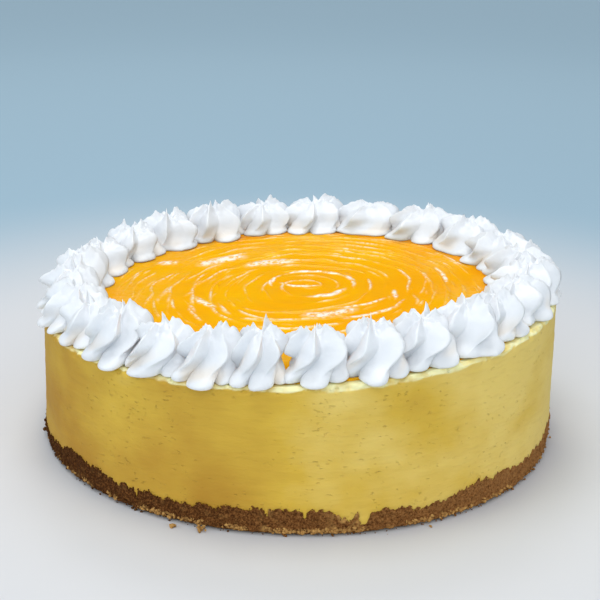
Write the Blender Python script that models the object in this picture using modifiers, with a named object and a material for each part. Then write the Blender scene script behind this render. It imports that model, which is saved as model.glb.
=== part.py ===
"""A round mango cheesecake: a biscuit base, a baked custard layer, a swirled mango glaze and a ring
of piped cream rosettes.

Metres, +Z up, origin at the middle of the underside. The cake is modelled even and level first.
`uneven` then gives every piece the same slope, ragged crust line and rough sides, so that the gaps
between the pieces stay as they are.
"""

import math
import random

import bmesh
import bpy
from mathutils import Vector, noise

# The cake
CAKE_RADIUS = 0.100
TOP_RADIUS = 0.0993
CAKE_HEIGHT = 0.0554
TOP_SLOPE = 0.0468          # rise of the top toward +X, per metre
CRUST_HEIGHT = 0.0095
CRUST_RAGGED = 0.0014       # how far the crust line wanders up and down at the side
CRUST_ROUGH = 0.0006        # depth of the crumbs on the crust's side
CRUST_GRAIN = 9.0           # the higher, the closer together the crumbs
CUSTARD_ROUGH = 0.0003
CUSTARD_WAVES = 3.0
BORDER_WIDE = 0.90          # the sides are rough outside this share of the radius
LIP_WIDTH = 0.0030          # the custard's bare rim outside the glaze
LIP_CHAMFER = 0.0010
RECESS = 0.0015             # how far the custard's top lies below its rim
GAP = 0.0003                # between pieces that touch
SIDES = 72

# The glaze
GLAZE_PROUD = 0.0004        # above the custard's rim
RIDGE_HEIGHT = 0.0007
RIDGE_PITCH = 0.0066
RIDGED_RADIUS = 0.0735      # outside it the glaze is plain and carries the cream
SWIRL_CENTRE = (0.004, 0.006)
GLAZE_SIDES = 60

# The rosettes
ROSETTES = 26
RING_RADIUS = 0.0879        # from the cake's axis to a rosette's middle
ROSETTE_REACH = 0.0137      # from a rosette's middle to its outermost petal
ROSETTE_HEIGHT = 0.0168
FRONT_TALLER = 0.0036       # rosettes at the front are taller by this, and at the back lower
TALLEST_AT = math.radians(-8)
FRONT_NARROWER = 0.12       # share by which the rosettes at the front are narrower
WIDTH_SPREAD = 0.12
CROWDING = 1.45             # how far a free rosette would reach, as a share of the room it has
FLATTENING = 6              # the higher, the flatter two rosettes press against each other
FIRST_EDGE = math.radians(-2.6)   # turned from the front toward +X
PETALS = 6
CUTS_PER_PETAL = 4
TWIST = math.radians(22)
LEAN = 0.0012
CROWN_NOTCH = 0.22          # how deep the crown is cut between two peaks, as a share of the height
SPACING_SEED = 2173
SHAPE_SEED = 26

# A rosette's rings from its hollow crown down to its foot. The reach is a share of ROSETTE_REACH,
# the rise a share of its height, and the groove says how far the valleys between petals cut in.
ROSETTE_RINGS = (
    # reach, rise, groove
    (0.00, 0.64, 0.00),
    (0.14, 0.74, 0.20),
    (0.34, 1.00, 0.40),
    (0.62, 0.70, 0.34),
    (0.90, 0.40, 0.24),
    (1.00, 0.13, 0.17),
    (0.90, 0.00, 0.15),
    (0.00, 0.00, 0.00),
)
CROWN_RING = 2

COLOURS = {
    # base colour, roughness
    "biscuit": ((0.165, 0.075, 0.034), 0.9),
    "custard": ((0.60, 0.42, 0.10), 0.6),
    "mango": ((1.00, 0.44, 0.005), 0.15),
    "cream": ((0.86, 0.88, 0.92), 0.45),
}


def clear_scene():
    for obj in list(bpy.data.objects):
        bpy.data.objects.remove(obj)


def make_material(name):
    colour, roughness = COLOURS[name]
    material = bpy.data.materials.new(name)
    material.use_nodes = True
    shader = material.node_tree.nodes["Principled BSDF"]
    shader.inputs["Base Color"].default_value = (*colour, 1)
    shader.inputs["Roughness"].default_value = roughness
    shader.inputs["Metallic"].default_value = 0
    return material


def share_between(value, low, high):
    """0 at low, 1 at high, straight between them and level outside."""
    return min(max((value - low) / (high - low), 0.0), 1.0)


def round_noise(angle, fineness, seed):
    """Noise of about -1 to 1 that closes on itself around the cake."""
    spot = Vector((math.cos(angle) * fineness, math.sin(angle) * fineness, seed))
    return noise.noise(spot) * 2


def crust_line(angle):
    """How far the border of crust and custard strays from CRUST_HEIGHT at the cake's side."""
    return CRUST_RAGGED * (0.6 * round_noise(angle, 2.2, 1.3) + 0.7 * round_noise(angle, 5.5, 4.7))


def uneven(point):
    """The place on the real cake of a point of the even, level one."""
    x, y, z = point
    radius = math.hypot(x, y)
    angle = math.atan2(y, x)
    out = share_between(radius / CAKE_RADIUS, BORDER_WIDE, 0.99)

    # The ragged line fades to nothing at the underside and a crust's height above the border.
    near_line = 1 - min(abs(z - CRUST_HEIGHT) / CRUST_HEIGHT, 1)
    lift = crust_line(angle) * near_line * out

    # The slope is whole at the rim and everything above it, and nothing at the crust.
    rim = CAKE_HEIGHT - 2 * RECESS
    lift += TOP_SLOPE * x * share_between(z, CRUST_HEIGHT, rim)

    if z < CRUST_HEIGHT + GAP / 2:
        bulge = CRUST_ROUGH * round_noise(angle, CRUST_GRAIN, 40 * z) * out
    else:
        below_rim = share_between(CAKE_HEIGHT - z, 0, 2 * RECESS)
        bulge = CUSTARD_ROUGH * round_noise(angle, CUSTARD_WAVES, 40 * z) * below_rim * out
    grown = 1 + bulge / CAKE_RADIUS
    return Vector((x * grown, y * grown, z + lift))


def add_piece(name, mesh, material, collection):
    obj = bpy.data.objects.new(name, mesh)
    collection.objects.link(obj)
    mesh.materials.clear()
    mesh.materials.append(material)
    mesh.shade_smooth()
    mesh.set_sharp_from_angle(angle=math.radians(50))
    return obj


def turned_mesh(profile, sides):
    """A profile of (radius, height), from the top's centre down the side to the underside's centre,
    turned about Z."""
    outline = bpy.data.meshes.new("outline")
    corners = [(radius, 0, height) for radius, height in profile]
    outline.from_pydata(corners, [(i, i + 1) for i in range(len(corners) - 1)], [])
    guide = bpy.data.objects.new("guide", outline)
    bpy.context.scene.collection.objects.link(guide)
    screw = guide.modifiers.new("turn", "SCREW")
    screw.steps = screw.render_steps = sides
    screw.use_merge_vertices = True
    screw.merge_threshold = 0.00001
    graph = bpy.context.evaluated_depsgraph_get()
    mesh = bpy.data.meshes.new_from_object(guide.evaluated_get(graph))
    bpy.data.objects.remove(guide)
    return mesh


def make_uneven(mesh):
    for vertex in mesh.vertices:
        vertex.co = uneven(vertex.co)


def poke_border(mesh, height):
    """Split each face of the border between crust and custard at its middle. The ragged line bends
    these faces, and split this way they bend alike on both pieces."""
    bm = bmesh.new()
    bm.from_mesh(mesh)
    at_border = [
        face
        for face in bm.faces
        if len(face.verts) == 4
        and all(
            abs(vertex.co.z - height) < GAP / 10 and vertex.co.xy.length > BORDER_WIDE * CAKE_RADIUS / 2
            for vertex in face.verts
        )
    ]
    bmesh.ops.poke(bm, faces=at_border)
    bm.to_mesh(mesh)
    bm.free()


def biscuit_base():
    mesh = turned_mesh(
        [
            (0, CRUST_HEIGHT),
            (BORDER_WIDE * CAKE_RADIUS, CRUST_HEIGHT),
            (CAKE_RADIUS, CRUST_HEIGHT),
            (CAKE_RADIUS + 0.0002, 0.65 * CRUST_HEIGHT),
            (CAKE_RADIUS, 0.30 * CRUST_HEIGHT),
            (CAKE_RADIUS - 0.0008, 0),
            (0, 0),
        ],
        SIDES,
    )
    poke_border(mesh, CRUST_HEIGHT)
    make_uneven(mesh)
    return mesh


def custard_body():
    foot = CRUST_HEIGHT + GAP
    recess = CAKE_HEIGHT - RECESS
    inner_lip = TOP_RADIUS - LIP_CHAMFER - LIP_WIDTH

    def side(share):
        return (
            CAKE_RADIUS + (TOP_RADIUS - CAKE_RADIUS) * share,
            foot + (CAKE_HEIGHT - LIP_CHAMFER - foot) * share,
        )

    mesh = turned_mesh(
        [
            (0, recess),
            (inner_lip, recess),
            (inner_lip + 0.0003, CAKE_HEIGHT - 0.0001),
            (TOP_RADIUS - LIP_CHAMFER, CAKE_HEIGHT),
            side(1),
            side(0.7),
            side(0.35),
            side(0),
            (BORDER_WIDE * CAKE_RADIUS, foot),
            (0, foot),
        ],
        SIDES,
    )
    poke_border(mesh, foot)
    make_uneven(mesh)
    return mesh


def ridge(x, y):
    """Height of the swirled ridges at a point of the glaze."""
    radius = math.hypot(x, y)
    fade = 1 - share_between(radius, RIDGED_RADIUS - RIDGE_PITCH, RIDGED_RADIUS)
    shift_x, shift_y = (centre * (1 - radius / RIDGED_RADIUS) for centre in SWIRL_CENTRE)
    from_centre = math.hypot(x - shift_x, y - shift_y)
    wave = 0.5 + 0.5 * math.cos(math.tau * from_centre / RIDGE_PITCH)
    vary = 0.8 + 0.4 * noise.noise(Vector((40 * x, 40 * y, 7.1)))
    return RIDGE_HEIGHT * wave * vary * fade


def mango_glaze():
    top = CAKE_HEIGHT + GLAZE_PROUD
    foot = CAKE_HEIGHT - RECESS + GAP
    rim = TOP_RADIUS - LIP_CHAMFER - LIP_WIDTH - GAP
    rings = round(RIDGED_RADIUS / RIDGE_PITCH * 2)
    ridged = [(RIDGED_RADIUS * i / rings, top) for i in range(rings + 1)]
    mesh = turned_mesh(
        ridged + [(rim - 0.0008, top), (rim, top - 0.0008), (rim, foot), (0, foot)],
        GLAZE_SIDES,
    )
    for vertex in mesh.vertices:
        if vertex.co.z > top - GAP:
            # The rings follow the swirl's own centre, which lies off the cake's axis.
            left = 1 - min(vertex.co.xy.length / RIDGED_RADIUS, 1)
            vertex.co.x += SWIRL_CENTRE[0] * left
            vertex.co.y += SWIRL_CENTRE[1] * left
            vertex.co.z += ridge(vertex.co.x, vertex.co.y)
    make_uneven(mesh)
    return mesh


def rosette_edges():
    """The angles between neighbouring rosettes, turned from the front toward +X."""
    draw = random.Random(SPACING_SEED)
    widths = []
    for i in range(ROSETTES):
        middle = FIRST_EDGE + math.tau * (i + 0.5) / ROSETTES
        narrower = 1 - FRONT_NARROWER * math.cos(middle)
        widths.append(narrower * draw.uniform(1 - WIDTH_SPREAD, 1 + WIDTH_SPREAD))
    edges = [FIRST_EDGE]
    for width in widths:
        edges.append(edges[-1] + width * math.tau / sum(widths))
    return edges


def petal_share(turn, sharpness):
    """1 on a petal's middle line and 0 in the valley beside it. Blunt petals are round lobes with
    sharp valleys, and sharp ones are thin fins with wide valleys."""
    half = turn * PETALS / 2
    lobe = abs(math.cos(half))
    fin = 1 - abs(math.sin(half))
    return lobe + (fin - lobe) * sharpness


def rosette(start, end, draw):
    """A star-tip rosette that fills the wedge of the ring between two angles."""
    middle = (start + end) / 2
    half_angle = (end - start) / 2
    height = ROSETTE_HEIGHT + FRONT_TALLER * math.cos(middle - TALLEST_AT)
    height *= draw.uniform(0.95, 1.05)
    first_petal = draw.uniform(0, math.tau / PETALS)
    twist = TWIST * draw.uniform(0.6, 1.4)
    lean_way = draw.uniform(0, math.tau)
    lean = Vector((math.cos(lean_way), math.sin(lean_way))) * LEAN * draw.uniform(0.3, 1)
    peaks = [draw.uniform(0.86, 1.02) for _ in range(PETALS)]
    foot = CAKE_HEIGHT + GLAZE_PROUD + GAP
    outward = Vector((math.sin(middle), -math.cos(middle)))
    sideways = Vector((math.cos(middle), math.sin(middle)))
    side_reach = CROWDING * RING_RADIUS * math.tan(half_angle)

    mesh = bpy.data.meshes.new("rosette")
    bm = bmesh.new()
    bands = len(ROSETTE_RINGS) - 1
    bmesh.ops.create_uvsphere(bm, u_segments=PETALS * CUTS_PER_PETAL, v_segments=bands, radius=1)
    for vertex in bm.verts:
        ring = round(math.acos(max(-1, min(1, vertex.co.z))) / math.pi * bands)
        reach, rise, groove = ROSETTE_RINGS[ring]
        turn = math.atan2(vertex.co.y, vertex.co.x)
        petal = petal_share(turn, share_between(rise, 0.2, 0.8))
        if ring == CROWN_RING:
            tip = peaks[round(turn / math.tau * PETALS) % PETALS]
            rise = tip - CROWN_NOTCH * (1 - petal)
        way = turn + first_petal + twist * rise
        spread = reach * (1 - groove * (1 - petal))
        out = RING_RADIUS + ROSETTE_REACH * spread * math.cos(way) + lean.x * rise * rise
        side = side_reach * spread * math.sin(way) + lean.y * rise * rise
        # Neighbours press against each other, so a petal flattens where it would cross the edge.
        room = out * math.tan(half_angle) - GAP / 2
        side /= (1 + (abs(side) / room) ** FLATTENING) ** (1 / FLATTENING)
        place = outward * out + sideways * side
        vertex.co = uneven((place.x, place.y, foot + height * rise))
    bm.to_mesh(mesh)
    bm.free()
    return mesh


def main():
    clear_scene()
    cake = bpy.data.collections.new("mango_cake")
    bpy.context.scene.collection.children.link(cake)
    materials = {name: make_material(name) for name in COLOURS}

    add_piece("biscuit_base", biscuit_base(), materials["biscuit"], cake)
    add_piece("custard_body", custard_body(), materials["custard"], cake)
    add_piece("mango_glaze", mango_glaze(), materials["mango"], cake)

    edges = rosette_edges()
    draw = random.Random(SHAPE_SEED)
    for i in range(ROSETTES):
        mesh = rosette(edges[i], edges[i + 1], draw)
        add_piece(f"cream_rosette_{i + 1:02d}", mesh, materials["cream"], cake)


main()
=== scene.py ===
import math
import random

import bmesh
import bpy
import numpy as np
from mathutils import Matrix, Vector, noise


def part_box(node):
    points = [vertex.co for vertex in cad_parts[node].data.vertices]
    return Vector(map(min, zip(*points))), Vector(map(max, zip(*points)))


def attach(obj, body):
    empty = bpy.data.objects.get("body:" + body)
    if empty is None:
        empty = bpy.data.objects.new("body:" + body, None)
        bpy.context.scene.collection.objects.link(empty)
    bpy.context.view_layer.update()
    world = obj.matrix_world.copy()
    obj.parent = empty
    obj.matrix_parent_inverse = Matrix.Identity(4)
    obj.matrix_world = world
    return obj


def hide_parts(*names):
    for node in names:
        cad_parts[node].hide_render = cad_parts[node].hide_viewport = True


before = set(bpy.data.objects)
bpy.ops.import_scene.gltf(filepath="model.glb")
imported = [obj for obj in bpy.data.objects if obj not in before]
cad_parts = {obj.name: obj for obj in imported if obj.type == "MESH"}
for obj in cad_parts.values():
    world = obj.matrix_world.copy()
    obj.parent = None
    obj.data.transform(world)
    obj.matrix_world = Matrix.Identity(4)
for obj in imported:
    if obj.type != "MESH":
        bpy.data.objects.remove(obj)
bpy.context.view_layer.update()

# the whole cake, in metres
cake = {
    "radius": 0.100,
    "topRadius": 0.0993,
    "height": 0.0554,          # at the axis
    "slope": 0.0468,           # the top rises toward +X
    "crust": 0.0095,           # height of the biscuit crust
    "recess": 0.0015,
    "glazeProud": 0.0004,
    "ring": 0.0879,            # radius of the ring of cream stars
}


# helpers

def startAlone(piece=None):
    # object mode, with nothing or only this piece selected
    if bpy.context.mode != "OBJECT":
        bpy.ops.object.mode_set(mode="OBJECT")
    bpy.ops.object.select_all(action="DESELECT")
    if piece is not None:
        piece.select_set(True)
        bpy.context.view_layer.objects.active = piece


def applyModifiers(piece):
    startAlone(piece)
    for modifier in list(piece.modifiers):
        bpy.ops.object.modifier_apply(modifier=modifier.name)


def readSpots(piece):
    spots = np.empty(len(piece.data.vertices) * 3)
    piece.data.vertices.foreach_get("co", spots)
    return spots.reshape(-1, 3)


def writeSpots(piece, spots):
    piece.data.vertices.foreach_set("co", spots.ravel())
    piece.data.update()


def carryShare(piece, name, values):
    # a share from 0 to 1 at each point of the mesh, which its material reads by this name
    layer = piece.data.attributes.new(name, "FLOAT", "POINT")
    layer.data.foreach_set("value", np.clip(values, 0, 1))


def turnedPiece(name, profile, steps):
    # a vertex walks down the profile of (radius, height, cuts) and the line is spun round Z
    startAlone()
    bpy.ops.mesh.primitive_plane_add(size=0.001)
    piece = bpy.context.active_object
    piece.name = name
    bpy.ops.object.mode_set(mode="EDIT")
    bpy.ops.mesh.merge(type="CENTER")
    radius, height = profile[0][:2]
    bpy.ops.transform.translate(value=(radius, 0, height))
    for nextRadius, nextHeight, cuts in profile[1:]:
        step = ((nextRadius - radius) / cuts, 0, (nextHeight - height) / cuts)
        for _ in range(cuts):
            bpy.ops.mesh.extrude_region_move(TRANSFORM_OT_translate={"value": step})
        radius, height = nextRadius, nextHeight
    bpy.ops.mesh.select_all(action="SELECT")
    bpy.ops.mesh.spin(steps=steps, angle=math.tau, center=(0, 0, 0), axis=(0, 0, 1))
    bpy.ops.mesh.select_all(action="SELECT")
    bpy.ops.mesh.remove_doubles(threshold=0.00001)
    bpy.ops.mesh.normals_make_consistent(inside=False)
    bpy.ops.object.mode_set(mode="OBJECT")
    return piece


def settlePiece(piece, material, slot, *nodes):
    # its finish, its smooth faces, and its place on the cake
    piece.data.materials.clear()
    piece.data.materials.append(material)
    startAlone(piece)
    bpy.ops.object.shade_smooth()
    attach(piece, "root")
    if nodes:
        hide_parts(*nodes)


def shareBetween(value, low, high):
    return min(max((value - low) / (high - low), 0.0), 1.0)


def noiseAt(x, y, z):
    return noise.noise(Vector((x, y, z)))


def noiseRound(angle, fineness, seed):
    # about -1 to 1, and it closes on itself round the cake
    return noiseAt(math.cos(angle) * fineness, math.sin(angle) * fineness, seed) * 2


def topSlope(x, z):
    # how far the leaning top lifts a point of the level cake
    rim = cake["height"] - 2 * cake["recess"]
    return cake["slope"] * x * shareBetween(z, cake["crust"], rim)


# finishes

def newMaterial(name):
    material = bpy.data.materials.new(name)
    material.use_nodes = True
    nodes = material.node_tree.nodes
    shader = nodes["Principled BSDF"]
    return material, nodes, material.node_tree.links, shader


def addNoise(nodes, links, source, scale, detail=3.0, roughness=0.5, stretch=(1, 1, 1)):
    # a noise on the piece's own coordinates; a higher stretch along an axis flattens it there
    mapping = nodes.new("ShaderNodeMapping")
    mapping.inputs["Scale"].default_value = stretch
    links.new(source.outputs["Object"], mapping.inputs["Vector"])
    texture = nodes.new("ShaderNodeTexNoise")
    texture.inputs["Scale"].default_value = scale
    texture.inputs["Detail"].default_value = detail
    texture.inputs["Roughness"].default_value = roughness
    links.new(mapping.outputs["Vector"], texture.inputs["Vector"])
    return texture.outputs["Fac"]


def readShare(nodes, name):
    # what carryShare left on the mesh
    attribute = nodes.new("ShaderNodeAttribute")
    attribute.attribute_name = name
    return attribute.outputs["Fac"]


def addRamp(nodes, links, factor, stops):
    ramp = nodes.new("ShaderNodeValToRGB")
    elements = ramp.color_ramp.elements
    while len(elements) < len(stops):
        elements.new(0.5)
    for element, (place, colour) in zip(elements, stops):
        element.position = place
        element.color = (*colour, 1)
    links.new(factor, ramp.inputs["Fac"])
    return ramp


def addMix(nodes, links, factor, first, second, blend="MIX"):
    # inputs 0, 6 and 7 of the node are its factor and its two colours
    mix = nodes.new("ShaderNodeMix")
    mix.data_type = "RGBA"
    mix.blend_type = blend
    for number, value in ((0, factor), (6, first), (7, second)):
        if isinstance(value, (int, float)):
            mix.inputs[number].default_value = value
        elif isinstance(value, tuple):
            mix.inputs[number].default_value = (*value, 1)
        else:
            links.new(value, mix.inputs[number])
    return mix.outputs[2]


def addDrift(nodes, links, source, factor, slopes):
    # a factor that also grows steadily along X, Y and Z
    lean = nodes.new("ShaderNodeVectorMath")
    lean.operation = "DOT_PRODUCT"
    links.new(source.outputs["Object"], lean.inputs[0])
    lean.inputs[1].default_value = slopes
    total = nodes.new("ShaderNodeMath")
    links.new(factor, total.inputs[0])
    links.new(lean.outputs["Value"], total.inputs[1])
    return total.outputs["Value"]


def addBump(nodes, links, height, distance, strength=1.0, before=None):
    bump = nodes.new("ShaderNodeBump")
    bump.inputs["Distance"].default_value = distance
    bump.inputs["Strength"].default_value = strength
    links.new(height, bump.inputs["Height"])
    if before is not None:
        links.new(before.outputs["Normal"], bump.inputs["Normal"])
    return bump


def addGlow(shader, finish):
    # light that goes in and comes out again nearby
    shader.inputs["Subsurface Weight"].default_value = finish["glow"]
    shader.inputs["Subsurface Radius"].default_value = finish["glowTint"]
    shader.inputs["Subsurface Scale"].default_value = finish["glowDepth"]


creamFinish = {
    "colour": (0.845, 0.86, 0.885),
    "shade": (0.80, 0.82, 0.85),
    "stain": (0.88, 0.78, 0.66),  # painted warm shade and bounced glaze light in the hollows
    "roughness": 0.42,
    "glow": 0.6,
    "glowTint": (1, 1, 1),
    "glowDepth": 0.0034,
}


def whippedCream():
    material, nodes, links, shader = newMaterial("whippedCream")
    coordinates = nodes.new("ShaderNodeTexCoord")
    cloud = addNoise(nodes, links, coordinates, 120, 3)
    stops = [(0.35, creamFinish["shade"]), (0.6, creamFinish["colour"])]
    tint = addRamp(nodes, links, cloud, stops)
    # warm shade painted into the hollows
    stain = readShare(nodes, "hollowShadeShare")
    coloured = addMix(nodes, links, stain, tint.outputs["Color"], creamFinish["stain"])
    links.new(coloured, shader.inputs["Base Color"])
    grain = addNoise(nodes, links, coordinates, 900, 2)
    bump = addBump(nodes, links, grain, 0.00012, 0.6)
    links.new(bump.outputs["Normal"], shader.inputs["Normal"])
    shader.inputs["Roughness"].default_value = creamFinish["roughness"]
    addGlow(shader, creamFinish)
    return material


glazeFinish = {
    "deep": (0.97, 0.395, 0.000),
    "bright": (0.98, 0.460, 0.000),
    "drift": (-0.8, 0.5, 0.0),    # painted light: brighter toward -X and the back
    "edge": (0.82, 0.23, 0.000),  # painted shade where it runs under the cream
    "peachHighlight": (1.00, 0.70, 0.38),  # painted highlight along the ridges
    "pale": (1.00, 0.86, 0.70),   # painted highlight in the smears
    "roughness": 0.21,
    "bend": 1.22,                 # index of refraction
    "gleam": (1.0, 0.93, 0.86),   # tint of its reflections
    "glow": 0.4,
    "glowTint": (1.0, 0.6, 0.1),
    "glowDepth": 0.003,
}


def mangoGlaze():
    material, nodes, links, shader = newMaterial("mangoGlaze")
    coordinates = nodes.new("ShaderNodeTexCoord")
    cloud = addNoise(nodes, links, coordinates, 30, 2)
    # the random tone, with painted light toward -X and the back
    drift = addDrift(nodes, links, coordinates, cloud, glazeFinish["drift"])
    stops = [(0.35, glazeFinish["deep"]), (0.65, glazeFinish["bright"])]
    tint = addRamp(nodes, links, drift, stops)
    # painted shade where the glaze runs under the cream
    edge = readShare(nodes, "creamShadeShare")
    creamShaded = addMix(nodes, links, edge, tint.outputs["Color"], glazeFinish["edge"])
    # painted highlights lie broken along the crests
    crest = readShare(nodes, "crestHighlightShare")
    flecks = addNoise(nodes, links, coordinates, 520, 2)
    torn = addRamp(nodes, links, flecks, [(0.38, (0.1, 0.1, 0.1)), (0.56, (1, 1, 1))])
    share = addMix(nodes, links, 1.0, crest, torn.outputs["Color"], "MULTIPLY")
    stops = [(0.55, glazeFinish["peachHighlight"]), (0.85, glazeFinish["pale"])]
    pale = addRamp(nodes, links, crest, stops)
    coloured = addMix(nodes, links, share, creamShaded, pale.outputs["Color"])
    links.new(coloured, shader.inputs["Base Color"])
    ripple = addNoise(nodes, links, coordinates, 420, 3)
    bump = addBump(nodes, links, ripple, 0.0002, 0.35)
    links.new(bump.outputs["Normal"], shader.inputs["Normal"])
    shader.inputs["Roughness"].default_value = glazeFinish["roughness"]
    shader.inputs["IOR"].default_value = glazeFinish["bend"]
    shader.inputs["Specular Tint"].default_value = (*glazeFinish["gleam"], 1)
    addGlow(shader, glazeFinish)
    return material


custardFinish = {
    "mustard": (0.50, 0.262, 0.022),
    "pale": (0.712, 0.463, 0.051),
    "top": (0.835, 0.615, 0.158),
    "places": (("mustard", 0.22), ("pale", 0.585), ("top", 0.81)),  # on the ramp
    "drift": (2.9, 0.0, 1.2),  # paler toward +X as painted light from the right, and paler upward
    "lipHighlight": (0.96, 0.89, 0.48),  # painted highlight along the broken rim
    "pit": (0.46, 0.25, 0.02),
    "roughness": 0.6,
    "gleam": 0.3,              # specular level
    "glow": 0.12,
    "glowTint": (1.0, 0.7, 0.2),
    "glowDepth": 0.003,
}


def bakedCustard():
    material, nodes, links, shader = newMaterial("bakedCustard")
    coordinates = nodes.new("ShaderNodeTexCoord")
    patches = addNoise(nodes, links, coordinates, 24, 3, 0.5, (1, 1, 1.2))
    # the random tone, paler toward +X as painted light, and paler upward
    drift = addDrift(nodes, links, coordinates, patches, custardFinish["drift"])
    stops = [(place, custardFinish[tint]) for tint, place in custardFinish["places"]]
    body = addRamp(nodes, links, drift, stops)
    # small pits in patches, drawn out sideways
    specks = addNoise(nodes, links, coordinates, 480, 2, 0.5, (1, 1, 2.0))
    spots = addRamp(nodes, links, specks, [(0.65, (0, 0, 0)), (0.75, (1, 1, 1))])
    thinning = addNoise(nodes, links, coordinates, 60, 2)
    kept = addRamp(nodes, links, thinning, [(0.38, (0.1, 0.1, 0.1)), (0.60, (1, 1, 1))])
    pits = addMix(nodes, links, 1.0, spots.outputs["Color"], kept.outputs["Color"], "MULTIPLY")
    pit = custardFinish["pit"]
    weak = addMix(nodes, links, 0.08, body.outputs["Color"], pit)
    # and longer drawn marks, fainter still
    drawn = addNoise(nodes, links, coordinates, 130, 3, 0.6, (1, 1, 5))
    marks = addRamp(nodes, links, drawn, [(0.52, (0, 0, 0)), (0.72, (0.13, 0.13, 0.13))])
    marked = addMix(nodes, links, marks.outputs["Color"], body.outputs["Color"], pit)
    pitted = addMix(nodes, links, pits, marked, weak)
    # the broken rim is painted paler, as a highlight
    rim = readShare(nodes, "lipHighlightShare")
    coloured = addMix(nodes, links, rim, pitted, custardFinish["lipHighlight"])
    links.new(coloured, shader.inputs["Base Color"])
    smears = addNoise(nodes, links, coordinates, 90, 4, 0.6, (1, 1, 4))
    bump = addBump(nodes, links, smears, 0.0007, 0.5)
    dents = addBump(nodes, links, pits, -0.0006, 0.8, bump)
    links.new(dents.outputs["Normal"], shader.inputs["Normal"])
    shader.inputs["Roughness"].default_value = custardFinish["roughness"]
    shader.inputs["Specular IOR Level"].default_value = custardFinish["gleam"]
    addGlow(shader, custardFinish)
    return material


crustFinish = {
    "dark": (0.066, 0.022, 0.005),
    "brown": (0.185, 0.070, 0.018),
    "tan": (0.35, 0.160, 0.050),
    "golden": (0.62, 0.35, 0.11),
    "footShadow": (0.030, 0.011, 0.003),  # painted shadow along its lowest edge
    "places": (("dark", 0.38), ("brown", 0.50), ("tan", 0.66)),  # on the ramp
    "drift": (1.5, 0.0, 0.0),  # paler toward +X, as painted light from the right
    "roughness": 0.95,
    "gleam": 0.1,              # specular level
}


def biscuitCrumb():
    material, nodes, links, shader = newMaterial("biscuitCrumb")
    coordinates = nodes.new("ShaderNodeTexCoord")
    grains = addNoise(nodes, links, coordinates, 1300, 4, 0.75)
    # the grain, paler toward +X as painted light
    drift = addDrift(nodes, links, coordinates, grains, crustFinish["drift"])
    stops = [(place, crustFinish[tint]) for tint, place in crustFinish["places"]]
    body = addRamp(nodes, links, drift, stops)
    foot = readShare(nodes, "goldShare")
    gilded = addMix(nodes, links, foot, body.outputs["Color"], crustFinish["golden"])
    # the painted shadow along the crust's lowest edge
    footShadow = readShare(nodes, "footShadowShare")
    coloured = addMix(nodes, links, footShadow, gilded, crustFinish["footShadow"])
    links.new(coloured, shader.inputs["Base Color"])
    rough = addNoise(nodes, links, coordinates, 900, 4, 0.7)
    bump = addBump(nodes, links, rough, 0.0005, 0.9)
    links.new(bump.outputs["Normal"], shader.inputs["Normal"])
    shader.inputs["Roughness"].default_value = crustFinish["roughness"]
    shader.inputs["Specular IOR Level"].default_value = crustFinish["gleam"]
    return material


# the biscuit crust

crustLook = {
    "steps": 1500,
    "rings": 24,
    "proud": -0.0003,          # outside the custard's side
    "crumbs": 0.0006,          # depth of the crumbly relief
    # grains of the ragged top edge, coarse to fine: fineness, seed, height
    "edge": (
        (2.2, 1.3, 0.00084),
        (5.5, 4.7, 0.00098),
        (15, 3.2, 0.00049),
        (45, 2.2, 0.00070),
        (130, 5.2, 0.00056),
        (300, 7.2, 0.00035),
    ),
    # angle from the front, depth, half width in degrees
    "drips": (
        (7.5, 0.0010, 0.9),
        (10.2, 0.0028, 1.9),
        (13.8, 0.0045, 1.1),
        (-34.5, 0.0030, 0.5),
        (-5.8, 0.0030, 0.4),
        (1.8, 0.0032, 0.35),
        (82, -0.0016, 19),     # the crust reaches up further here
        (-92, 0.0024, 25),     # and less far here
    ),
    "stained": ((10.5, 3.2), (-5.8, 0.9)),  # angle and spread, where the custard lightens it
    "taper": 0.0009,           # the foot lies further in by this
    "undercut": 0.0014,        # and its lowest edge by this much more
    "shoulder": 0.0016,        # width of the top face outside the custard
    "underside": 0.0030,       # width of the lowest face
    "middle": 0.6,             # height of the slab under the custard, of the crust's
}


def dripAt(angle):
    # how far custard has run down over the crust
    fromFront = math.degrees(angle) + 90
    dip = 0.0
    for place, depth, width in crustLook["drips"]:
        gap = (fromFront - place + 180) % 360 - 180
        dip += depth * math.exp(-(gap / width) ** 4)
    return dip


def crustEdge(angle):
    # how far the crust's top edge lies above its usual height
    ragged = 0.0
    for fineness, seed, height in crustLook["edge"]:
        ragged += height * noiseRound(angle, fineness, seed)
    return ragged - dripAt(angle)


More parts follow.
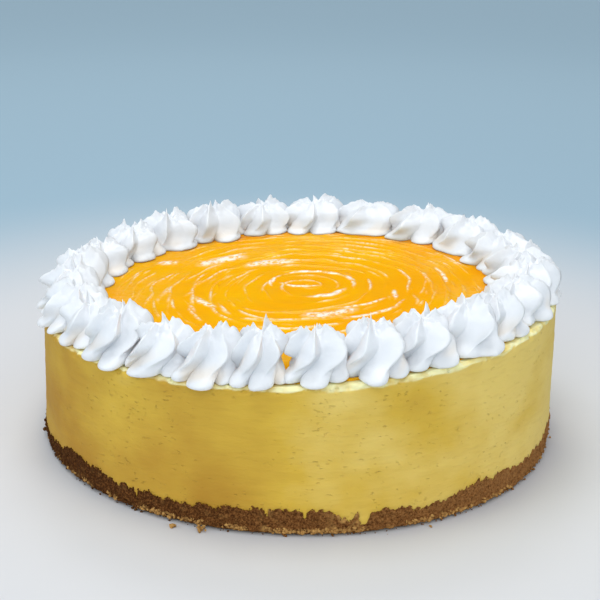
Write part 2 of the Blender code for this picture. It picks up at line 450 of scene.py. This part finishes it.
def makeCrust(material):
    radius, height = cake["radius"], cake["crust"]
    side = radius + crustLook["proud"]
    piece = turnedPiece(
        "biscuitCrust",
        [
            (0, crustLook["middle"] * height, 0),
            (0.85 * radius, crustLook["middle"] * height, 3),
            (radius - crustLook["shoulder"], height, 2),
            (side, height, 2),
            (side - crustLook["taper"], 0, crustLook["rings"]),
            (radius - crustLook["underside"], 0, 2),
            (0, 0, 3),
        ],
        crustLook["steps"],
    )
    spots = readSpots(piece)
    gold, footShadow = np.zeros(len(spots)), np.zeros(len(spots))
    for i, (x, y, z) in enumerate(spots):
        out = math.hypot(x, y)
        if out < 0.9 * radius:
            continue
        angle = math.atan2(y, x)
        share = z / height
        z += crustEdge(angle) * share ** 1.5
        # painted shadow: the lowest edge of the crust is coloured dark
        footShadow[i] = 1 - shareBetween(share, 0.06, 0.14)
        near = Vector((x, y, z)) * 700
        lump = noise.noise(near) + 0.6 * noise.noise(near * 2.3) + 0.4 * noise.noise(near * 0.35)
        foot = 1 - shareBetween(share, 0.0, 0.28)
        grow = 0
        if out > radius - 0.0015:
            grow = crustLook["crumbs"] * (lump + 0.25) * shareBetween(share, -0.02, 0.12)
            grow -= crustLook["undercut"] * (1 - shareBetween(share, 0.03, 0.12))
        x, y = x * (1 + grow / out), y * (1 + grow / out)
        spots[i] = x, y, max(z, 0)
        # golden lumps at the foot, golden grains here and there, and where the custard stains it
        spot = Vector((x, y, z))
        golden = noise.noise(spot * 160) + 0.6 * noise.noise(spot * 420)
        gold[i] = min(max(foot * (golden - 0.1) * 2.0, 0), 1)
        gold[i] += 0.25 * max(0, noise.noise(near * 0.6) - 0.25)
        fromFront = math.degrees(angle) + 90
        stain = 0.9 * shareBetween(noise.noise(spot * 330), -0.1, 0.4)
        for middle, spread in crustLook["stained"]:
            gold[i] += stain * math.exp(-((fromFront - middle) / spread) ** 2)
    writeSpots(piece, spots)
    carryShare(piece, "goldShare", gold)
    carryShare(piece, "footShadowShare", footShadow)
    settlePiece(piece, material, "biscuit", "biscuit_base")


# loose crumbs that cling to the crust

crumbLook = {
    "count": 3400,
    "sizes": (0.00025, 0.0008),
    "footSizes": (0.0004, 0.0011),  # of those at the foot and in the clumps
    "footShare": 0.20,         # of them lie golden at the foot
    "sideShare": 0.45,         # on the side, and the rest along the top edge
    "footSpread": (-3, 26),    # middle and spread of the golden ones, degrees from the front
    # degrees from the front, height, distance outside the side, how many, spread, golden share
    "clumps": (
        (-79, 0.0030, -0.0010, 16, 0.0005, 0.1),
        (-24.5, 0.0006, 0.0028, 7, 0.0005, 0.8),
        (-18.7, 0.0010, 0.0016, 16, 0.0007, 0.8),
    ),
    "strays": 7,               # lie on the ground beside the foot
    "seed": 11,
}


def makeCrumbs(material):
    draw = random.Random(crumbLook["seed"])
    startAlone()
    bpy.ops.mesh.primitive_ico_sphere_add(subdivisions=1, radius=1)
    grain = bpy.context.active_object
    ball = readSpots(grain)
    corners = [tuple(face.vertices) for face in grain.data.polygons]
    bpy.data.objects.remove(grain)
    # where each one lies: angle, height, distance from the axis, size, golden share
    places = []
    for place, height, beyond, count, spread, golden in crumbLook["clumps"]:
        for _ in range(count):
            angle = math.radians(place - 90) + draw.gauss(0, spread) / cake["radius"]
            out = cake["radius"] + beyond + draw.gauss(0, spread)
            size = draw.uniform(*crumbLook["footSizes"])
            up = height + draw.gauss(0, 0.5 * spread)
            places.append((angle, up, out, size, golden * draw.uniform(0.5, 1.1)))
    for _ in range(crumbLook["strays"]):
        out = cake["radius"] + draw.uniform(0.0008, 0.0030)
        size = draw.uniform(*crumbLook["sizes"])
        places.append((draw.uniform(-math.pi, math.pi), 0, out, size, draw.uniform(0.4, 0.9)))
    small, large = crumbLook["sizes"]
    while len(places) < crumbLook["count"]:
        angle = draw.uniform(-math.pi, math.pi)
        top = cake["crust"] + crustEdge(angle)
        size = small + (large - small) * draw.random() ** 3
        out = cake["radius"] - crustLook["taper"] + draw.uniform(0.0, 0.0004)
        kind = draw.random()
        if kind < crumbLook["footShare"]:
            # in clusters, most of them at the front
            angle = math.radians(draw.gauss(*crumbLook["footSpread"]) - 90)
            size = draw.uniform(*crumbLook["footSizes"]) * draw.uniform(0.6, 1)
            if noiseRound(angle, 11, 9.1) > -0.25:
                up = draw.uniform(0.0014, 0.0031)
                places.append((angle, up, out - 0.0001, size, draw.uniform(0.2, 1)))
        elif kind < crumbLook["footShare"] + crumbLook["sideShare"]:
            share = draw.random()
            out += crustLook["taper"] * share - 0.0002
            places.append((angle, top * share, out, size, draw.uniform(0, 0.3) ** 2))
        else:
            out = cake["radius"] - 0.0003
            places.append((angle, top + draw.uniform(-0.0007, 0.0006), out, 0.8 * size, 0))
    spots, faces, gold = [], [], []
    for i, (angle, height, out, size, golden) in enumerate(places):
        middle = np.array((out * math.cos(angle), out * math.sin(angle), max(height, 0.45 * size)))
        angle, axis = draw.uniform(0, math.tau), Vector((draw.random(), draw.random(), 1))
        turn = np.array(Matrix.Rotation(angle, 3, axis))
        shape = ball * [draw.uniform(0.6, 1.2), draw.uniform(0.6, 1.2), draw.uniform(0.5, 1)]
        lumps = np.array([draw.uniform(0.75, 1.2) for _ in ball])[:, None]
        grown = shape * lumps @ turn.T * size + middle
        grown[:, 2] = np.maximum(grown[:, 2], 0)
        spots.append(grown)
        faces += [tuple(corner + i * len(ball) for corner in face) for face in corners]
        gold += [golden] * len(ball)
    mesh = bpy.data.meshes.new("crustCrumbs")
    mesh.from_pydata(np.concatenate(spots).tolist(), [], faces)
    piece = bpy.data.objects.new("crustCrumbs", mesh)
    bpy.context.scene.collection.objects.link(piece)
    carryShare(piece, "goldShare", gold)
    settlePiece(piece, material, "biscuit")


# the custard layer

custardLook = {
    "steps": 900,
    "rings": 44,
    "waves": 0.0003,           # height of the slow waves round the side
    "smears": 0.00018,         # and of the marks that the tin left
    "lipWidth": 0.0030,
    "chamfer": 0.0011,
    "chips": 0.0010,           # how far the rim is broken
    "tuck": 0.0013,            # how far it lies inside the crust's side
    "foot": 0.0012,            # height of its lower edge
    "upright": 0.0055,         # height of the upright part of the side, at its top
    # painted highlight along the rim: its depth, how uneven, and how much narrower it is toward -X
    "rim": (0.0019, 0.0014, 0.5),
}


def makeCustard(material):
    radius, height = cake["radius"] - 0.0001, cake["height"]
    topRadius = cake["topRadius"]
    inner = topRadius - custardLook["chamfer"] - custardLook["lipWidth"]
    piece = turnedPiece(
        "cheesecakeBody",
        [
            (0, height - cake["recess"], 0),
            (inner, height - cake["recess"], 3),
            (inner + 0.0004, height - 0.0001, 2),
            (topRadius - custardLook["chamfer"], height, 6),
            (topRadius, height - custardLook["chamfer"], 4),
            (topRadius, height - custardLook["upright"], 14),
            (radius, custardLook["foot"], custardLook["rings"]),
            (0.97 * radius, custardLook["foot"], 2),
            (0, 0.7 * cake["crust"], 2),
        ],
        custardLook["steps"],
    )
    spots = readSpots(piece)
    rim = np.zeros(len(spots))
    for i, (x, y, z) in enumerate(spots):
        out = math.hypot(x, y)
        angle = math.atan2(y, x)
        if out > 0.9 * radius:
            # behind the crust it lies further in, but for where it has run over
            hidden = shareBetween(cake["crust"] + crustEdge(angle) - z, 0.0, 0.0012)
            wave = custardLook["waves"] * noiseRound(angle, 3.0, 40 * z)
            smear = custardLook["smears"] * noiseAt(x * 60, y * 60, z * 420)
            below = shareBetween(height - z, 0, 0.003)
            grow = (wave + smear) * below * (1 - hidden) - custardLook["tuck"] * hidden
            near = Vector((x, y, z * 0.5))
            chip = 0.7 * noise.noise(near * 190) + 0.8 * noise.noise(near * 420)
            chip += 0.5 * noise.noise(near * 900)
            atEdge = shareBetween(out, inner + 0.0010, topRadius)
            atEdge *= 1 - shareBetween(height - z, 0.0010, 0.0028)
            grow += custardLook["chips"] * min(chip, 0.1) * atEdge
            z += custardLook["chips"] * (0.8 * chip - 0.1) * atEdge
            x, y = x * (1 + grow / out), y * (1 + grow / out)
            # the band of painted highlight along the rim
            depth, uneven, narrower = custardLook["rim"]
            edge = depth + uneven * noise.noise(Vector((x, y, 0)) * 140)
            edge *= 1 - narrower * (1 - shareBetween(x, -0.06, 0.02))
            broken = 0.85 + 0.9 * noise.noise(Vector((x, y, z)) * 300) + 0.4 * chip
            rim[i] = (1 - shareBetween(height - z, edge * 0.75, edge)) * min(max(broken, 0.15), 1)
        spots[i] = x, y, z + topSlope(x, z)
    writeSpots(piece, spots)
    carryShare(piece, "lipHighlightShare", rim)
    settlePiece(piece, material, "custard", "custard_body")


# the mango glaze

glazeLook = {
    "steps": 300,
    "rings": 290,
    "finely": 0.079,           # the faces are small inside this radius
    "ridged": 0.0760,          # and the swirl shows inside this one
    # the knife's sweeps: middle of the spiral, pitch, how much of it shows, seed
    "sweeps": (
        ((0.004, 0.006), 0.0068, 0.45, 3.0),
        ((-0.012, 0.002), 0.0080, 0.18, 33.0),
        ((0.018, 0.010), 0.0060, 0.08, 63.0),
    ),
    "ridge": 0.0006,           # height of the ridges
    "crestWidths": (0.10, 0.05),  # outer and inner slope of a ridge, of the pitch
    "slump": 0.12,             # how far the glaze swells toward them, of their height
    "ripple": 0.0002,          # height of its slow waves
    "wobble": 0.0052,          # how far the spiral strays
    # streaks where it dragged, raised a little and painted pale as highlights: place, half length,
    # half width, degrees from +X
    "smears": (
        (-0.033, 0.041, 0.0105, 0.0034, 33),
        (-0.013, 0.036, 0.0095, 0.0034, 14),
        (-0.055, 0.039, 0.0040, 0.0024, 0),
        (0.012, -0.006, 0.0080, 0.0014, 32),
        (0.012, -0.028, 0.0100, 0.0028, 17),
        (-0.037, -0.012, 0.0070, 0.0015, -57),
        (-0.001, 0.005, 0.0075, 0.0010, -16),
        (0.006, 0.0225, 0.0110, 0.0009, -10),
        (-0.011, 0.013, 0.0060, 0.0008, 75),
        (0.021, 0.010, 0.0065, 0.0008, -78),
        (0.037, -0.008, 0.0050, 0.0009, -85),
        (0.024, -0.019, 0.0100, 0.0009, 26),
        (0.028, -0.029, 0.0115, 0.0010, 32),
        (0.057, 0.014, 0.0100, 0.0008, -82),
    ),
}


def ridgesAt(x, y, sweep):
    # thin ridges along a spiral with wide hollows between, broken and uneven as a knife leaves them
    (right, back), pitch, share, seed = sweep
    left = 1 - min(math.hypot(x, y) / glazeLook["ridged"], 1)
    dx, dy = x - right * left, y - back * left
    wide = noiseAt(x * 22, y * 22, seed)
    tight = noiseAt(x * 75, y * 75, seed)
    pitch *= 1 + 0.25 * shareBetween(-y, 0, 0.07)
    reach = math.hypot(dx, dy) + glazeLook["wobble"] * (wide + 0.3 * tight)
    turns = reach / pitch - math.atan2(dy, dx) / math.tau
    across = turns - math.floor(turns)                  # 0 and 1 are on a ridge
    outer, inner = glazeLook["crestWidths"]
    crest = math.exp(-(across / outer) ** 2) + math.exp(-((1 - across) / inner) ** 2)
    strength = share + 2.0 * noiseAt(x * 45, y * 45, seed + 20)
    strength += 1.2 * noiseAt(x * 130, y * 130, seed + 25)
    return min(max(strength, 0), 1) * crest, across


def smearAt(x, y):
    # each streak bends round the middle of the main sweep
    right, back = glazeLook["sweeps"][0][0]
    found = 0.0
    for smearX, smearY, length, width, way in glazeLook["smears"]:
        dx, dy = x - smearX, y - smearY
        if abs(dx) + abs(dy) > 2.5 * length:
            continue
        cosine, sine = math.cos(math.radians(way)), math.sin(math.radians(way))
        along, across = dx * cosine + dy * sine, dy * cosine - dx * sine
        toward = math.copysign(1, (back - smearY) * cosine - (right - smearX) * sine)
        away = max(math.hypot(right - smearX, back - smearY), 0.012)
        across += 0.0010 * noiseAt(x * 200, y * 200, 41.0) - toward * along * along / (2 * away)
        found = max(found, math.exp(-(along / length) ** 4 - (across / width) ** 2))
    return found


def swirlAt(x, y):
    # the height of the knife's sweeps, and how strongly highlights are painted on the crests there
    out = math.hypot(x, y)
    fade = shareBetween(glazeLook["ridged"] + 0.003 - out, 0, 0.008)
    (crest, across), *others = [ridgesAt(x, y, sweep) for sweep in glazeLook["sweeps"]]
    outside = shareBetween(out, 0.022, 0.036)           # the others leave the middle free
    crest = max(crest, *(outside * other for other, _ in others))
    slump = glazeLook["slump"] * (0.5 + 0.5 * math.cos(math.tau * across))
    # painted highlights on the crests, broken in places
    brokenGlint = 0.75 * shareBetween(noiseAt(x * 60, y * 60, 11.0), -0.22, 0.10)
    smear = smearAt(x, y)
    # a painted sheen of reflected light, paler toward the outer part
    rimSheen = 0.16 * shareBetween(out, 0.045, 0.068) * (0.4 + noiseAt(x * 50, y * 50, 21.0))
    pale = max(shareBetween(crest, 0.15, 0.6) * brokenGlint, shareBetween(smear, 0.1, 0.6), rimSheen)
    return glazeLook["ridge"] * (max(crest, 0.7 * smear) + slump) * fade, pale * fade


def makeGlaze(material):
    top = cake["height"] + cake["glazeProud"]
    foot = cake["height"] - cake["recess"] + 0.0001
    rim = cake["topRadius"] - custardLook["chamfer"] - custardLook["lipWidth"] + 0.0003
    piece = turnedPiece(
        "mangoSwirl",
        [
            (0, top, 0),
            (glazeLook["finely"], top, glazeLook["rings"]),
            (rim - 0.0008, top, 12),
            (rim, top - 0.0007, 3),
            (rim, foot, 1),
            (0, foot, 2),
        ],
        glazeLook["steps"],
    )
    spots = readSpots(piece)
    edge, crest = np.zeros(len(spots)), np.zeros(len(spots))
    for i, (x, y, z) in enumerate(spots):
        ragged = math.hypot(x, y) + 0.004 * noiseAt(x * 90, y * 90, 4.0)
        # painted shade, deeper where it runs under the cream at the back and toward +X
        edge[i] = 0.6 * shareBetween(ragged, 0.071, 0.077) * shareBetween(y + 0.6 * x, 0.010, 0.050)
        # its height, and how strongly highlights are painted there
        if z > top - 0.0001:
            height, crest[i] = swirlAt(x, y)
            z += height + glazeLook["ripple"] * noiseAt(x * 90, y * 90, 1.0)
        spots[i] = x, y, z + cake["slope"] * x
    writeSpots(piece, spots)
    carryShare(piece, "creamShadeShare", edge)
    carryShare(piece, "crestHighlightShare", crest)
    piece.visible_diffuse = False                       # keeps its orange off the cream
    settlePiece(piece, material, "mango", "mango_glaze")


# the piped cream stars

starLook = {
    "petals": (6, 5, 6, 5, 6, 6),  # of each of the stars that are modelled, then copied round
    # places across a petal, 0 on its fin and 0.5 in the valley
    "across": (-0.40, -0.20, 0.0, 0.20, 0.40, 0.5),
    # fin reach, fin rise, valley reach, valley rise, and how lobed rather than thin the petal is
    "rings": (
        (0.88, 0.00, 0.62, 0.00, 1.0),
        (1.05, 0.01, 0.68, 0.01, 1.0),
        (1.12, 0.06, 0.69, 0.06, 1.0),
        (1.08, 0.13, 0.68, 0.13, 0.8),
        (0.92, 0.20, 0.66, 0.20, 0.45),
        (0.90, 0.29, 0.64, 0.29, 0.15),
        (0.97, 0.41, 0.61, 0.40, 0.0),
        (0.95, 0.55, 0.55, 0.52, 0.0),
        (0.83, 0.68, 0.45, 0.62, 0.0),
        (0.65, 0.80, 0.33, 0.69, 0.0),
        (0.47, 0.91, 0.22, 0.735, 0.0),
        (0.30, 1.00, 0.14, 0.755, 0.0),
        (0.18, 0.88, 0.10, 0.75, 0.0),
        (0.08, 0.78, 0.05, 0.74, 0.0),
    ),
    "waistRing": 4,
    "sweep": 0.16,             # how far the petals lean over the next one, in petals
    "tipRing": 11,
    "fineness": 2,             # levels of subdivision
    "twist": 50,               # degrees from foot to tip, most of it low down
    "calmer": 0.6,             # and this much less at the back
    "outward": 0.0012,         # in front, out to the rim toward -X and in toward +X
    "parted": {"creamStar01": -1, "creamStar26": 1},  # low down, a gap is left on this side of them
    "gap": 0.0018,             # its width
    # degrees from +X, and how much further the stars there are drawn up to a point
    "drawnUp": ((45, 70, 85, 114, 126, 141), (0.0, 0.12, 0.17, 0.22, 0.44, 0.0)),
    "lean": 0.0014,            # how far a tip strays sideways
    "reach": 0.0130,           # radius of a star
    "inward": 0.25,            # and this much more over the glaze at the back
    "crowding": 1.45,          # how much wider a star would be than its place on the ring
    "flattening": 6,           # how sharply it flattens against its neighbours
    "pressed": 0.0026,         # neighbours run into each other by this
    "sunk": 0.0004,            # and into what carries them by this
    "droop": 0.0010,           # how far the outer petals hang over the rim
    "wobble": 0.14,            # unevenness of the petals
    "jagged": (0.09, 0.06),    # unevenness of the tips, and the finer one at the back
    "narrower": 0.09,          # of the inner feet at the back
    "fuller": 0.08,            # of the waists at the back
    "stained": 0.7,            # how strongly warm shade is painted into the hollows at most
    "seed": 41,
}


def pipedStar(petals, draw):
    # a cage of fins and valleys, extruded ring by ring from foot to crown and subdivided
    across = starLook["across"]
    spokes = petals * len(across)
    swing = [draw.uniform(-0.15, 0.15) for _ in range(petals)]
    plump = [draw.uniform(0.90, 1.08) for _ in range(petals)]
    tips = [draw.uniform(0.83, 0.96) for _ in range(petals)]
    spike = draw.randrange(petals)
    tips[spike] = draw.uniform(0.96, 1.01)
    tips[(spike + draw.choice((1, 2, -1))) % petals] = draw.uniform(0.87, 0.94)
    waists = [draw.uniform(0.0, 0.12) for _ in range(petals)]
    tilt = [draw.uniform(-0.08, 0.08) for _ in range(petals)]
    curl = [draw.uniform(-0.14, 0.14) for _ in range(petals)]
    startAlone()
    bpy.ops.mesh.primitive_circle_add(vertices=spokes, radius=1)
    star = bpy.context.active_object
    bpy.ops.object.mode_set(mode="EDIT")
    bpy.ops.mesh.select_mode(type="VERT")
    bm = bmesh.from_edit_mesh(star.data)
    spokeOf = bm.verts.layers.int.new("spoke")
    ringOf = bm.verts.layers.int.new("ring")
    for vert in bm.verts:
        vert[spokeOf] = round(math.atan2(vert.co.y, vert.co.x) / math.tau * spokes) % spokes
    for number, (finReach, finRise, valleyReach, valleyRise, lobed) in enumerate(starLook["rings"]):
        if number:
            bpy.ops.mesh.extrude_region_move()
        bm = bmesh.from_edit_mesh(star.data)
        spokeOf, ringOf = bm.verts.layers.int["spoke"], bm.verts.layers.int["ring"]
        for vert in bm.verts:
            if not vert.select:
                continue
            vert[ringOf] = number
            petal, place = divmod(vert[spokeOf], len(across))
            off = across[place]
            high = shareBetween(finRise, 0.45, 1.0)
            lobe = (1 - (2 * off) ** 2) ** 0.4
            fin = (1 - abs(2 * off)) ** (1.35 + 0.9 * high)
            share = lobed * lobe + (1 - lobed) * fin
            waist = waists[petal] * max(0, 1 - abs(number - starLook["waistRing"]) / 2)
            reach = finReach * (plump[petal] - waist) + tilt[petal] * high
            rise = finRise if finRise < 0.6 else 0.6 + (finRise - 0.6) * (2.5 * tips[petal] - 1.5)
            reach = valleyReach + (reach - valleyReach) * share
            rise = valleyRise + (rise - valleyRise) * share
            turn = petal + off + (swing[petal] + curl[petal] * high) * (1 - abs(2 * off))
            turn += starLook["sweep"] * share * shareBetween(finRise, 0.0, 0.3)
            angle = math.tau * turn / petals
            vert.co = reach * math.cos(angle), reach * math.sin(angle), rise
        bmesh.update_edit_mesh(star.data)
    # close the hollow crown and the foot
    bpy.ops.mesh.edge_face_add()
    bpy.ops.mesh.poke()
    bpy.ops.mesh.select_all(action="DESELECT")
    bm = bmesh.from_edit_mesh(star.data)
    for vert in bm.verts:
        vert.select = vert.is_boundary
    bm.select_flush_mode()
    bmesh.update_edit_mesh(star.data)
    bpy.ops.mesh.edge_face_add()
    bpy.ops.mesh.poke()
    bpy.ops.mesh.select_all(action="SELECT")
    bpy.ops.mesh.normals_make_consistent(inside=False)
    # thin fins toward the top and sharp folds at the foot
    bm = bmesh.from_edit_mesh(star.data)
    spokeOf, ringOf = bm.verts.layers.int["spoke"], bm.verts.layers.int["ring"]
    crease = bm.edges.layers.float.new("crease_edge")
    point = bm.verts.layers.float.new("crease_vert")
    for edge in bm.edges:
        low, high = sorted(edge.verts, key=lambda vert: vert[ringOf])
        if low[spokeOf] != high[spokeOf] or low[ringOf] == high[ringOf]:
            continue
        level, off = low[ringOf], across[low[spokeOf] % len(across)]
        if off == 0 and level >= 3:
            edge[crease] = min(0.35 + 0.35 * (level - 3), 1.0)
        if off == 0.5:
            edge[crease] = 0.9 if level <= 4 else 0.6
    for vert in bm.verts:
        if vert[ringOf] == starLook["tipRing"] and across[vert[spokeOf] % len(across)] == 0:
            vert[point] = 0.7 if vert[spokeOf] // len(across) == spike else 0.4
    bmesh.update_edit_mesh(star.data)
    bpy.ops.object.mode_set(mode="OBJECT")
    smooth = star.modifiers.new("smooth", "SUBSURF")
    smooth.levels = smooth.render_levels = starLook["fineness"]
    applyModifiers(star)
    return star


def wedgeOf(node):
    # the angles and heights that a CAD rosette takes up on the ring
    low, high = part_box(node)
    centre = (low + high) / 2
    middle = math.atan2(centre.y, centre.x)
    turns, foot, tip = [], 1.0, 0.0
    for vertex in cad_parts[node].data.vertices:
        x, y, z = vertex.co
        turns.append((math.atan2(y, x) - middle + math.pi) % math.tau - math.pi)
        level = z - cake["slope"] * x
        foot, tip = min(foot, level), max(tip, level)
    start, end = middle + min(turns), middle + max(turns)
    return (start + end) / 2, (end - start) / 2, foot, tip


def pipeOnto(star, node, name, draw):
    # a copy of the star, turned, twisted and pressed between its neighbours on the ring
    middle, half, foot, tip = wedgeOf(node)
    piece = bpy.data.objects.new(name, star.data.copy())
    bpy.context.scene.collection.objects.link(piece)
    height = tip - foot
    turn = draw.uniform(0, math.tau)
    behind = shareBetween(math.sin(middle), -0.3, 0.5)
    twist = math.radians(starLook["twist"]) * draw.uniform(0.6, 1.3)
    twist *= 1 - starLook["calmer"] * behind
    leanWay, lean = draw.uniform(0, math.tau), starLook["lean"] * draw.uniform(0.2, 1)
    # at the back and toward +X the stars reach further in over the glaze
    right, back = math.cos(middle), math.sin(middle)
    inward = 1 + starLook["inward"] * shareBetween(back + 0.5 * right, 0.2, 1.0)
    outward, sideways = Vector((right, back, 0)), Vector((-back, right, 0))
    moved = shareBetween(-back, 0.3, 0.7) * shareBetween(-right, -0.2, 0.3)
    moved -= shareBetween(-back, 0.1, 0.5) * shareBetween(right, 0.2, 0.6)
    ring = cake["ring"] + starLook["outward"] * moved
    parted = starLook["parted"].get(name, 0)
    sideReach = starLook["crowding"] * cake["ring"] * math.tan(half)
    peak = float(np.interp(math.degrees(middle), *starLook["drawnUp"]))
    seed = draw.uniform(0, 100)
    reach = starLook["reach"] * draw.uniform(0.95, 1.06)
    middle += draw.uniform(-0.008, 0.008)
    height *= draw.uniform(0.95, 1.02)
    spots = readSpots(piece)
    stain = np.zeros(len(spots))
    for i, (x, y, z) in enumerate(spots):
        spread = math.hypot(x, y)
        # painted warm shade in the hollows low down, more at the back
        stain[i] = starLook["stained"] * (1 - shareBetween(z, 0.15, 0.5))
        stain[i] *= 1 - shareBetween(spread, 0.84, 1.0)
        stain[i] *= shareBetween(noiseAt(x * 1.6, y * 1.6, z + seed) + 0.2 * behind, 0.05, 0.35)
        low = shareBetween(z, 0.05, 0.55)
        way = math.atan2(y, x) + turn + twist * (0.75 * low * low * (3 - 2 * low) + 0.25 * z)
        spread *= 1 + starLook["wobble"] * noiseAt(x * 1.7, y * 1.7, z * 1.5 + seed)
        # behind, hardly a foot on the glaze and hardly a waist
        if math.cos(way) < 0:
            spread *= 1 - starLook["narrower"] * behind * (1 - shareBetween(z, 0.10, 0.70))
        spread *= 1 + starLook["fuller"] * behind * math.exp(-((z - 0.24) / 0.10) ** 2)
        away = reach * math.cos(way) * (inward if math.cos(way) < 0 else 1)
        out = ring + away * spread + lean * math.cos(leanWay) * z * z
        side = sideReach * spread * math.sin(way) + lean * math.sin(leanWay) * z * z
        room = out * math.tan(half) + starLook["pressed"]
        if side * parted > 0:
            inner = 1 - shareBetween(out, ring - 0.003, ring + 0.005)
            opened = (1 - shareBetween(z, 0.36, 0.50)) * max(inner, shareBetween(z, 0.14, 0.30))
            room -= (starLook["gap"] + starLook["pressed"]) * opened
        side /= (1 + (abs(side) / room) ** starLook["flattening"]) ** (1 / starLook["flattening"])
        coarse, fine = starLook["jagged"]
        jagged = coarse * noiseAt(x * 9, y * 9, seed)
        jagged += fine * behind * noiseAt(x * 24, y * 24, seed)
        up = foot + height * (z + peak * z * z + jagged * shareBetween(z, 0.55, 0.85))
        # the petals outside the rim sag over it
        over = shareBetween(out, cake["topRadius"] - 0.002, cake["topRadius"] + 0.002)
        up -= starLook["sunk"] + starLook["droop"] * over * (1 - shareBetween(z, 0.0, 0.5))
        spot = outward * out + sideways * side
        spots[i] = spot.x, spot.y, up + cake["slope"] * spot.x
    writeSpots(piece, spots)
    carryShare(piece, "hollowShadeShare", stain)
    return piece


def makeStars(material):
    draw = random.Random(starLook["seed"])
    stars = [pipedStar(petals, draw) for petals in starLook["petals"]]
    nodes = sorted(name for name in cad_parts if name.startswith("cream_rosette"))
    for i, node in enumerate(nodes):
        piece = pipeOnto(stars[i * 5 % len(stars)], node, f"creamStar{i + 1:02d}", draw)
        piece.visible_glossy = False                    # keeps their white out of the glaze
        settlePiece(piece, material, "cream", node)
    for star in stars:
        bpy.data.objects.remove(star)


# the studio

floorLook = {
    "size": 8,
    "roughness": 0.9,
    "gleam": 0.1,              # specular level
    "reach": 2.0,
    # share of the reach, colour: pale round the cake, bluer behind, lighter where less light falls
    "colours": [
        (0.080, (0.66, 0.66, 0.67)),
        (0.180, (0.34, 0.475, 0.565)),
        (0.400, (0.38, 0.52, 0.61)),
        (0.850, (0.52, 0.68, 0.78)),
    ],
}


def makeFloor():
    startAlone()
    bpy.ops.mesh.primitive_plane_add(size=floorLook["size"], location=(0, 0, 0))
    floor = bpy.context.active_object
    floor.name = "studioFloor"
    material, nodes, links, shader = newMaterial("paleFloor")
    coordinates = nodes.new("ShaderNodeTexCoord")
    away = nodes.new("ShaderNodeVectorMath")
    away.operation = "LENGTH"
    links.new(coordinates.outputs["Object"], away.inputs[0])
    span = nodes.new("ShaderNodeMath")
    span.operation = "DIVIDE"
    links.new(away.outputs["Value"], span.inputs[0])
    span.inputs[1].default_value = floorLook["reach"]
    colour = addRamp(nodes, links, span.outputs["Value"], floorLook["colours"])
    colour.color_ramp.interpolation = "EASE"
    links.new(colour.outputs["Color"], shader.inputs["Base Color"])
    shader.inputs["Roughness"].default_value = floorLook["roughness"]
    shader.inputs["Specular IOR Level"].default_value = floorLook["gleam"]
    floor.data.materials.append(material)
    floor.visible_glossy = False


lights = {
    # name: place, size, power, colour
    "softTop": ((-0.10, 0.00, 1.00), 0.50, 3.2, (0.95, 0.98, 1.0)),
    "glintBack": ((-0.05, 0.62, 0.95), 0.30, 1.8, (1.0, 0.96, 0.93)),
    "softFront": ((-0.05, -1.05, 0.80), 0.60, 3.75, (1.0, 1.0, 1.0)),
    "keyRight": ((0.85, -0.85, 0.42), 0.5, 2.15, (1.0, 0.98, 0.95)),
    "fillLeft": ((-1.10, -0.50, 0.40), 0.6, 3.1, (0.96, 0.98, 1.0)),
}

lampAim = (0, 0, 0.04)         # they all point here

airLook = {
    "low": (0.50, 0.60, 0.68),
    "high": (0.86, 0.92, 0.98),
    "strength": 0.66,
    # what shiny faces see, low to high, dark where the level glaze mirrors it
    "mirrored": [
        (0.14, (0.6, 0.57, 0.54)),
        (0.24, (0.02, 0.02, 0.02)),
        (0.50, (0.02, 0.02, 0.02)),
        (0.80, (2.0, 1.9, 1.8)),
    ],
}


def makeLights():
    for name, (place, size, power, colour) in lights.items():
        data = bpy.data.lights.new(name, "AREA")
        data.size = size
        data.energy = power
        data.color = colour
        lamp = bpy.data.objects.new(name, data)
        lamp.location = place
        toward = Vector(lampAim) - Vector(place)
        lamp.rotation_euler = toward.to_track_quat("-Z", "Y").to_euler()
        bpy.context.scene.collection.objects.link(lamp)
    world = bpy.data.worlds.new("studioAir")
    world.use_nodes = True
    nodes, links = world.node_tree.nodes, world.node_tree.links
    air = nodes["Background"]
    direction = nodes.new("ShaderNodeTexCoord")
    parts = nodes.new("ShaderNodeSeparateXYZ")
    links.new(direction.outputs["Generated"], parts.inputs["Vector"])
    stops = [(0.25, airLook["low"]), (0.75, airLook["high"])]
    sky = addRamp(nodes, links, parts.outputs["Z"], stops).outputs["Color"]
    glints = addRamp(nodes, links, parts.outputs["Z"], airLook["mirrored"]).outputs["Color"]
    ray = nodes.new("ShaderNodeLightPath")
    seen = addMix(nodes, links, ray.outputs["Is Glossy Ray"], sky, glints)
    links.new(seen, air.inputs["Color"])
    air.inputs["Strength"].default_value = airLook["strength"]
    bpy.context.scene.world = world
    bpy.context.scene.view_settings.view_transform = "Standard"


cameraLook = {
    "lens": 96,
    "sensor": 36,
    "nearest": 0.01,
    "pitch": 19.3,             # degrees down from level
    "roll": 1.03,
    "place": (0.0002, -0.5926, 0.2593),
}


def makeCamera():
    data = bpy.data.cameras.new("camera")
    data.lens = cameraLook["lens"]
    data.sensor_width = cameraLook["sensor"]
    data.clip_start = cameraLook["nearest"]
    camera = bpy.data.objects.new("camera", data)
    bpy.context.scene.collection.objects.link(camera)
    pitch = Matrix.Rotation(math.radians(90 - cameraLook["pitch"]), 4, "X")
    roll = Matrix.Rotation(math.radians(cameraLook["roll"]), 4, "Z")
    camera.matrix_world = Matrix.Translation(cameraLook["place"]) @ pitch @ roll
    bpy.context.scene.camera = camera


makeCamera()
print("camera ready")
crumbFinish = biscuitCrumb()
makeCrust(crumbFinish)
makeCrumbs(crumbFinish)
print("crust and crumbs ready")
makeCustard(bakedCustard())
print("custard ready")
makeGlaze(mangoGlaze())
print("glaze ready")
makeStars(whippedCream())
print("cream stars ready")
makeFloor()
makeLights()
print("studio ready")

startAlone()
